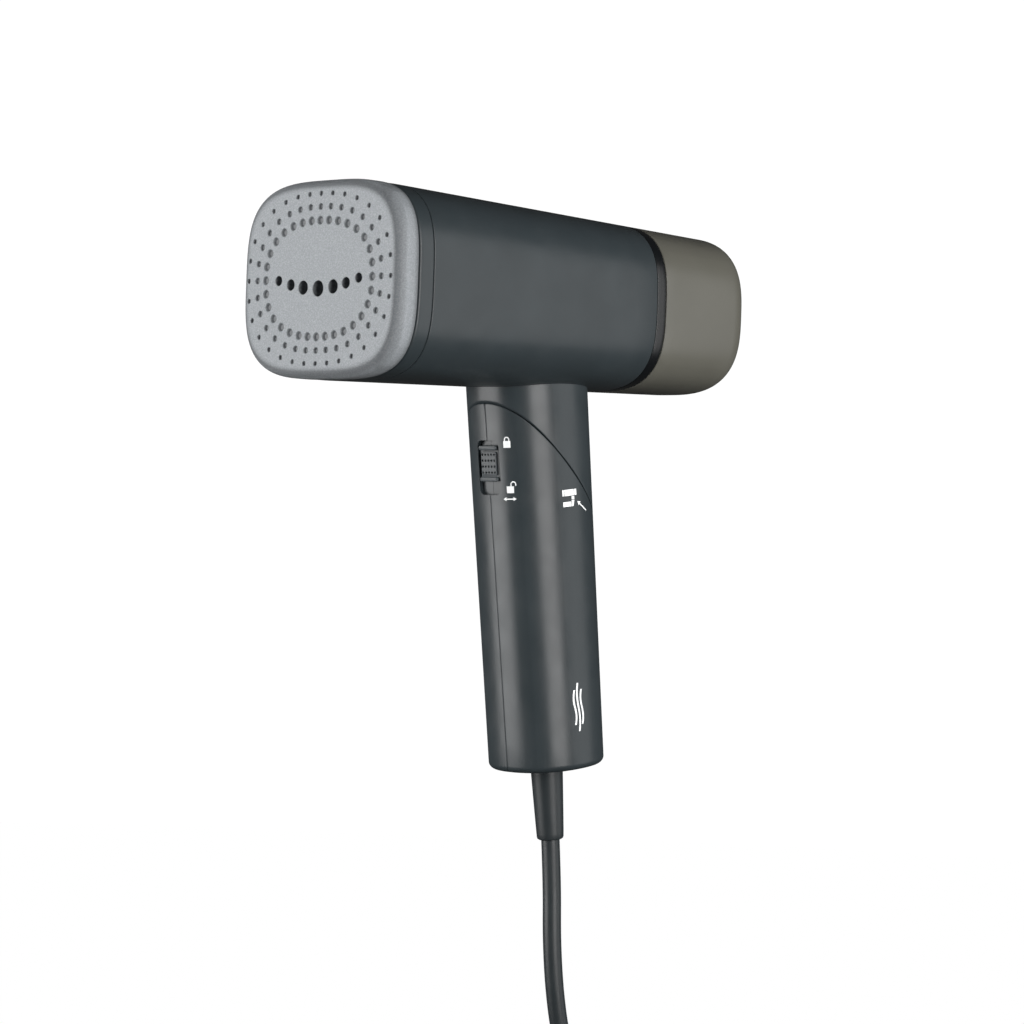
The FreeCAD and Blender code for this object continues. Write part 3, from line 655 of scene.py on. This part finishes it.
def make_handle():
    """Both halves with their openings, and the sole between them."""
    face = grip_half(60)[1]
    recess = pad_cutter(RECESS_HALF_W, *RECESS_Z, -face - 3, -face + RECESS_DEPTH, 2.4)
    slot = pad_cutter(SLOT_HALF_W, *SLOT_Z, -face - 3, -face + 6, 0.4)
    steam = pad_cutter(STEAM_HALF_W, *STEAM_Z, 15, 30, 5.0)
    power = round_cutter(grip_point(0, 15, POWER_Z), grip_point(0, 30, POWER_Z), POWER_BORE)
    lens = round_cutter(grip_point(0, 15, LENS_Z), grip_point(0, 30, LENS_Z), LENS_BORE)
    screws = [round_cutter(grip_point(-30, y, z), grip_point(SCREW_SEAT_X, y, z), SCREW_BORE)
              for y, z in SCREW_SPOTS]
    for name, node, side in (("handle_skin_right", "handle_shell_right", 1),
                             ("handle_skin_left", "handle_shell_left", -1)):
        half = make_handle_half(name, side)
        if side < 0:
            carve(half, *screws)
        carve(half, recess, slot, steam, power, lens)
        settle_normals(half, grip_normal)
        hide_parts(node)
        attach(half, "handle")
    discard(recess, slot, steam, power, lens, *screws)
    sole = lofted("handle_sole", [[grip_point(*grip_xy(2 * math.pi * i / 96, z, inset), z)
                                   for i in range(96)]
                                  for z, inset in ((GRIP_FOOT + 0.02, FOOT_EDGE - 0.3),
                                                   (GRIP_FOOT + 2.4, FOOT_EDGE - 0.1))],
                  MATERIALS["soft_touch_shell"], "cap")
    hole = round_cutter(grip_point(0, 0, GRIP_FOOT - 3), grip_point(0, 0, GRIP_FOOT + 5),
                        CORD_BORE)
    carve(sole, hole)
    discard(hole)
    smooth(sole)
    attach(sole, "handle")


def rounded_block(half_w, z0, z1, y0, y1, corner, bevel):
    """Rings of a pad in the grip frame whose front face (at y0) has a softened edge."""
    rings = []
    for depth, shrink in ((y1, 0.0), (y0 + bevel, 0.0), (y0 + 0.3 * bevel, 0.3 * bevel),
                          (y0, bevel)):
        ring = []
        w, low, high = half_w - shrink, z0 + shrink, z1 - shrink
        c = max(corner - shrink, 0.05)
        for cx, cz, start in ((w - c, high - c, 0), (c - w, high - c, 90), (c - w, low + c, 180),
                              (w - c, low + c, 270)):
            for step in range(7):
                turn = math.radians(start + 15 * step)
                ring.append(grip_point(cx + c * math.cos(turn), depth, cz + c * math.sin(turn)))
        rings.append(ring)
    return rings


def make_lock_knob():
    """Slider: two raised bars with a dimpled pad sunk between them, on one base plate."""
    face, material = grip_half(60)[1], MATERIALS["control_plastic"]
    low, high = KNOB_Z
    base = lofted("lock_base", rounded_block(4.7, low, high, -face + 1.1, -face + 1.5, 1.0, 0.2),
                  material, "cap")
    pad = lofted("lock_pad", rounded_block(3.8, low + 2.3, high - 2.3, 0.25 - face, 1.3 - face,
                                           0.5, 0.25), material, "cap")
    for row in range(4):
        for column in range(5):
            x, z = -3.0 + 1.5 * column, low + 3.3 + 2.2 * row
            dimple = round_cutter(grip_point(x, -face - 0.5, z),
                                  grip_point(x, 0.75 - face, z), 0.48, 16)
            carve(pad, dimple)
            discard(dimple)
    bars = [lofted("lock_bar", rounded_block(4.3, z, z + 1.6, -0.45 - face, 1.3 - face, 0.6, 0.4),
                   material, "cap") for z in (low, high - 1.6)]
    stem = lofted("lock_stem", rounded_block(1.9, *STEM_Z, 1.3 - face, 3.7 - face, 0.3, 0.1),
                  material, "cap")
    pieces = [base, pad, stem, *bars]
    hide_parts("lock_slider")
    for piece in pieces:
        smooth(piece, 30)
        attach(piece, "lock")


def turned(name, material, profile, start, direction, sides=72):
    """Lathe piece: profile of (distance along, radius) from start along direction, in mm."""
    turn = direction.to_track_quat("Z", "Y").to_matrix()
    rings = []
    for along, radius in profile:
        ring = []
        for step in range(sides):
            angle = 2 * math.pi * step / sides
            local = Vector((radius * math.cos(angle), radius * math.sin(angle), along))
            ring.append(start + turn @ (local * MM))
        rings.append(ring)
    return smooth(lofted(name, rings, material, "cap"), 32)


def make_strain_relief():
    """Tapered sleeve where the cord leaves the handle."""
    down = grip_point(0, 0, -1).normalized()
    profile = [(-5.5, 8.0), (-2.6, 8.0), (-2.6, 5.5), (0.1, 5.5), (0.1, 5.95), (0.6, 6.15),
               (3.0, 6.0), (10.0, 5.75), (18.0, 5.45), (25.5, 5.15), (27.1, 5.05), (27.7, 4.85),
               (28.0, 4.4), (28.0, 3.6), (26.5, 3.55)]
    relief = turned("strain_relief_sleeve", MATERIALS["cord_jacket"], profile,
                    grip_point(0, 0, GRIP_FOOT), down)
    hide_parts("strain_relief")
    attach(relief, "handle")


# ---- printed pictograms ----
def printed(name, shapes, angle, z, turn=0.0):
    """Thin print on the handle: flat polygons in mm, wrapped on the surface at angle and z."""
    build = bmesh.new()
    for polygon in shapes:
        build.faces.new([build.verts.new((u, v, 0)) for u, v in polygon])
    bmesh.ops.subdivide_edges(build, edges=build.edges, cuts=4, use_grid_fill=True)
    bmesh.ops.triangulate(build, faces=build.faces)
    c, s = math.cos(turn), math.sin(turn)
    for vert in build.verts:
        across, up = vert.co.x * c - vert.co.y * s, vert.co.x * s + vert.co.y * c
        vert.co = surface_point(angle, z, across, up)
    mesh = bpy.data.meshes.new(name)
    build.to_mesh(mesh)
    build.free()
    mark = new_object(name, mesh, PRINT_WHITE)
    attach(mark, "handle")


def surface_point(angle, z, across, up, lift=0.03):
    """Point a little off the handle's skin, at a distance round it and up it from (angle, z)."""
    height = z + up
    half_w, half_h = grip_half(height)
    x0, y0 = grip_xy(angle, height)
    x1, y1 = grip_xy(angle + 0.01, height)
    x, y = grip_xy(angle + 0.01 * across / math.hypot(x1 - x0, y1 - y0), height)
    out = Vector((math.copysign(abs(x / half_w) ** (GRIP_POWER - 1) / half_w, x),
                  math.copysign(abs(y / half_h) ** (GRIP_POWER - 1) / half_h, y))).normalized()
    return grip_point(x + out.x * lift, y + out.y * lift, height)


def bar(u0, u1, v0, v1):
    """Upright rectangle."""
    return [(u0, v0), (u1, v0), (u1, v1), (u0, v1)]


def arch(cx, cy, inner, outer, start, end, steps=12):
    """Band of a circle as quads, angles in degrees."""
    quads = []
    turns = [math.radians(start + (end - start) * i / steps) for i in range(steps + 1)]
    for a, b in zip(turns, turns[1:]):
        quads.append([(cx + outer * math.cos(a), cy + outer * math.sin(a)),
                      (cx + outer * math.cos(b), cy + outer * math.sin(b)),
                      (cx + inner * math.cos(b), cy + inner * math.sin(b)),
                      (cx + inner * math.cos(a), cy + inner * math.sin(a))])
    return quads


def arrow(tail, tip, width, head):
    """Straight arrow as two polygons."""
    start, end = Vector(tail), Vector(tip)
    along = (end - start).normalized()
    side = Vector((-along.y, along.x))
    neck = end - along * head
    shaft = [start + side * width / 2, start - side * width / 2,
             neck - side * width / 2, neck + side * width / 2]
    point = [neck + side * head * 0.6, neck - side * head * 0.6, end]
    return [[tuple(corner) for corner in shaft], [tuple(corner) for corner in point]]


def wave(centre, length, width, swing):
    """Upright wavy stroke made of short quads."""
    quads, rows = [], []
    steps = 20
    for step in range(steps + 1):
        share = step / steps
        rows.append((centre + swing * math.sin(2 * math.pi * share), length * (share - 0.5)))
    for (u0, v0), (u1, v1) in zip(rows, rows[1:]):
        quads.append([(u0 - width / 2, v0), (u0 + width / 2, v0),
                      (u1 + width / 2, v1), (u1 - width / 2, v1)])
    return quads


def make_prints():
    """Generic signs: padlocks, a double arrow, the folded appliance and steam waves."""
    lock_side, fold_side = math.radians(-67.5), math.radians(-4)
    closed = [bar(-1.4, 1.4, -1.9, 0.6), bar(-1.05, -0.65, 0.6, 1.1), bar(0.65, 1.05, 0.6, 1.1)]
    closed += arch(0, 1.1, 0.65, 1.05, 0, 180)
    printed("mark_locked", closed, lock_side, 70.0)
    opened = [bar(-1.4, 1.4, -1.9, 0.6), bar(0.15, 0.55, 0.6, 1.35), bar(1.95, 2.35, 0.8, 1.35)]
    opened += arch(1.25, 1.35, 0.7, 1.1, 0, 180)
    printed("mark_unlocked", opened, lock_side + math.radians(1), 53.3)
    turn = arrow((-0.2, 0), (2.6, 0), 0.45, 1.2) + arrow((0.2, 0), (-2.6, 0), 0.45, 1.2)
    printed("mark_turn", turn, lock_side, 49.2)
    folded = [bar(-3.6, -2.9, 0.9, 3.2), bar(-2.65, 2.2, 0.9, 3.2), bar(2.45, 3.6, 0.9, 3.2),
              bar(0.9, 2.3, -0.6, 0.65), bar(-3.4, 0.6, -3.1, -1.3),
              [(0.8, -3.1), (1.7, -3.1), (2.3, -0.85), (0.9, -0.85)]]
    printed("mark_folded", folded, fold_side, 48.0)
    printed("mark_fold_arrow", arrow((2.8, -2.0), (-2.6, 1.9), 0.5, 1.6),
            fold_side + math.radians(18), 44.6)
    steam = wave(-1.7, 13, 0.8, 0.5) + wave(0, 18, 0.8, 0.5) + wave(1.7, 13, 0.8, 0.5)
    printed("mark_steam", steam, math.radians(-7), -29.5)


# ---- free cord ----
def cord_exit():
    """Where the cord leaves its sleeve."""
    return grip_point(0, 0, GRIP_FOOT - RELIEF_LENGTH)


def cord_points():
    """Centreline: down from the sleeve, three stacked turns in a coil, then to the plug."""
    low = FLOOR_Z + TIE_THICK + CORD_R
    route = [(0, 12.2, -98.0), (0.4, 12.6, -119.0), (0.6, 15.4, -141.0), (0.6, 21.0, -161.0),
             (0.8, 31.0, -179.0), (1.0, 45.0, -194.5), (1.3, 61.0, low + 4.5), (1.5, 79.0, low)]
    points = [cord_exit()] + [Vector(point) * MM for point in route]
    radii = [45.5, 38.5, 31.5, 31.5, 38.5, 45.5, 45.5]
    heights = [low, low, low, low + 7, low + 7, low + 7, low + 14]
    per_turn, window, half_turns = 24, 6, 13
    x0, y0 = COIL_CENTRE
    for step in range(per_turn * half_turns // 2 + 1):
        turn, place = divmod(step, per_turn)
        share = 1.0
        if turn > 0 and place < window:
            share = 0.5 - 0.5 * math.cos(math.pi * place / window)
        before = max(turn - 1, 0)
        radius = radii[before] + (radii[turn] - radii[before]) * share
        height = heights[before] + (heights[turn] - heights[before]) * share
        if heights[turn] > heights[before]:
            bulge = 2.5 if radii[turn] > 40 else -2.5
            radius += bulge * math.sin(math.pi * share)
        angle = 2 * math.pi * place / per_turn
        points.append(Vector((x0 + radius * math.cos(angle), y0 + radius * math.sin(angle),
                              height)) * MM)
    plug_z = FLOOR_Z + 18.6
    out = x0 - 45.5
    tail = [(out + 0.4, y0 - 12, plug_z - 0.4), (out, y0 - 24, plug_z),
            (out, y0 - 36, plug_z)]
    return points + [Vector(point) * MM for point in tail]


def make_cord():
    """The mains cord as one tube in place of its CAD pieces, riding with the handle."""
    curve = bpy.data.curves.new("mains_cord", "CURVE")
    curve.dimensions = "3D"
    points = cord_points()
    spline = curve.splines.new("NURBS")
    spline.points.add(len(points) - 1)
    for target, point in zip(spline.points, points):
        target.co = (*point, 1)
    spline.order_u = 3
    spline.use_endpoint_u = True
    spline.resolution_u = 6
    curve.bevel_depth = CORD_R * MM
    curve.bevel_resolution = 8
    curve.use_fill_caps = True
    cord = new_object("mains_cord", curve, MATERIALS["cord_jacket"])
    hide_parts("cord_lead", "cord_coil", "cord_tail")
    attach(cord, "handle")


def make_plug():
    """Moulded two-pin plug with a ribbed sleeve behind it."""
    low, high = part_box("plug_body")
    centre = (low + high) / 2
    face = Vector((centre.x, low.y, centre.z))
    back = Vector((0, 1, 0))
    profile = [(0, 17.2), (0.4, 18.0), (1.5, 18.5), (12.0, 18.5), (13.0, 18.3), (17.0, 16.6),
               (20.0, 14.6), (24.0, 12.4), (29.0, 10.3), (33.0, 9.0), (34.0, 8.5)]
    body = turned("plug_housing", MATERIALS["cord_jacket"], profile, face, back, 96)
    sleeve_start = face + back * 0.034
    ribs = [(0, 6.6)]
    for rib in range(7):
        along = 1.5 + rib * 4.4
        radius = 6.5 - 0.25 * rib
        ribs += [(along, radius), (along + 2.6, radius - 0.15), (along + 2.9, radius - 0.9),
                 (along + 4.1, radius - 0.95)]
    ribs += [(33.0, 4.6), (34.0, 4.2)]
    sleeve = turned("plug_boot", MATERIALS["cord_jacket"], ribs, sleeve_start, back)
    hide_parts("plug_body")
    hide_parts("plug_sleeve")
    for piece in (body, sleeve):
        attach(piece, "handle")
    return body, sleeve


# ---- camera, lights and stage ----
LENS = 119.53
CAMERA_AT = Vector((0.87813, -0.91946, 0.02986))
CAMERA_AZIMUTH, CAMERA_ELEVATION, CAMERA_ROLL = 44.209, -0.534, 2.080


def make_camera():
    """Long lens, almost level, with the small roll of a hand-placed product."""
    a, e, roll = (math.radians(v) for v in (CAMERA_AZIMUTH, CAMERA_ELEVATION, CAMERA_ROLL))
    back = Vector((math.sin(a) * math.cos(e), -math.cos(a) * math.cos(e), math.sin(e)))
    right = Vector((math.cos(a), math.sin(a), 0))
    up = back.cross(right)
    across = right * math.cos(roll) + up * math.sin(roll)
    upward = up * math.cos(roll) - right * math.sin(roll)
    data = bpy.data.cameras.new("camera")
    data.lens = LENS
    data.sensor_width = 36.0
    data.clip_start = 0.01
    data.clip_end = 50
    camera = bpy.data.objects.new("camera", data)
    bpy.context.scene.collection.objects.link(camera)
    turn = Matrix((across, upward, back)).transposed().to_4x4()
    camera.matrix_world = Matrix.Translation(CAMERA_AT) @ turn
    bpy.context.scene.camera = camera


def softbox(name, azimuth, height, distance, size, power, steps=5):
    """Softbox that fades towards its upper and lower edges: nested panels of falling height."""
    a = math.radians(azimuth)
    target = Vector((0, 0, 0.08))
    place = Vector((math.sin(a) * distance, -math.cos(a) * distance, height))
    turn = (place - target).to_track_quat("Z", "Y").to_matrix().to_4x4()
    total = sum(range(1, steps + 1))
    for step in range(1, steps + 1):
        data = bpy.data.lights.new("%s_%d" % (name, step), "AREA")
        data.shape = "RECTANGLE"
        data.size = size[0]
        data.size_y = size[1] * step / steps
        data.energy = power * step / total
        light = bpy.data.objects.new(data.name, data)
        light.matrix_world = Matrix.Translation(place) @ turn
        bpy.context.scene.collection.objects.link(light)


def make_stage():
    """Plain white floor that sweeps up into a white wall."""
    floor_z = CAD_BOX[0][2] - 0.0002
    radius, rise, wall = 1.6, 0.5, 3.0
    build = bmesh.new()
    sections = [(radius, 0.0)]
    for step in range(1, 9):
        turn = 0.5 * math.pi * step / 8
        sections.append((radius + rise * math.sin(turn), rise * (1 - math.cos(turn))))
    sections.append((radius + rise, wall))
    rows = []
    for reach, height in sections:
        rows.append([build.verts.new((reach * math.cos(2 * math.pi * i / 96),
                                      reach * math.sin(2 * math.pi * i / 96),
                                      floor_z + height)) for i in range(96)])
    build.faces.new(rows[0])
    for low, high in zip(rows, rows[1:]):
        for i in range(96):
            build.faces.new((low[i], low[(i + 1) % 96], high[(i + 1) % 96], high[i]))
    mesh = bpy.data.meshes.new("sweep")
    build.to_mesh(mesh)
    build.free()
    shader = Shader("sweep_white", (0.05, 0.05, 0.05), 0.9)
    shader.bsdf.inputs["Emission Color"].default_value = (1, 1, 1, 1)
    shader.bsdf.inputs["Emission Strength"].default_value = 1.0
    sweep = new_object("sweep", mesh, shader.material)
    for polygon in mesh.polygons:
        polygon.use_smooth = True
    sweep.visible_glossy = False
    sweep.visible_diffuse = False
    sweep.visible_transmission = False
    sweep.visible_shadow = False


def make_lights():
    """Upright softboxes whose reflections run along the handle and the barrel."""
    world = bpy.data.worlds.new("studio")
    world.use_nodes = True
    world.node_tree.nodes["Background"].inputs["Color"].default_value = (1, 1, 1, 1)
    world.node_tree.nodes["Background"].inputs["Strength"].default_value = 0.025
    bpy.context.scene.world = world
    softbox("softbox_left", -32, 0.12, 1.3, (0.95, 1.15), 41)
    softbox("softbox_key", 82, 0.12, 1.3, (0.85, 1.15), 38)
    softbox("softbox_right", 134, 0.12, 1.3, (0.6, 1.1), 6.5)
    softbox("softbox_top", 60, 1.5, 0.4, (1.2, 1.2), 0.3, 1)
    bpy.context.scene.view_settings.view_transform = "Standard"


make_camera()
dress_cad_nodes()
plug_pieces = make_plug()
make_strain_relief()
make_cord()
make_barrel()
make_tank()
make_neck()
make_handle()
make_lock_knob()
make_prints()
make_stage()
make_lights()
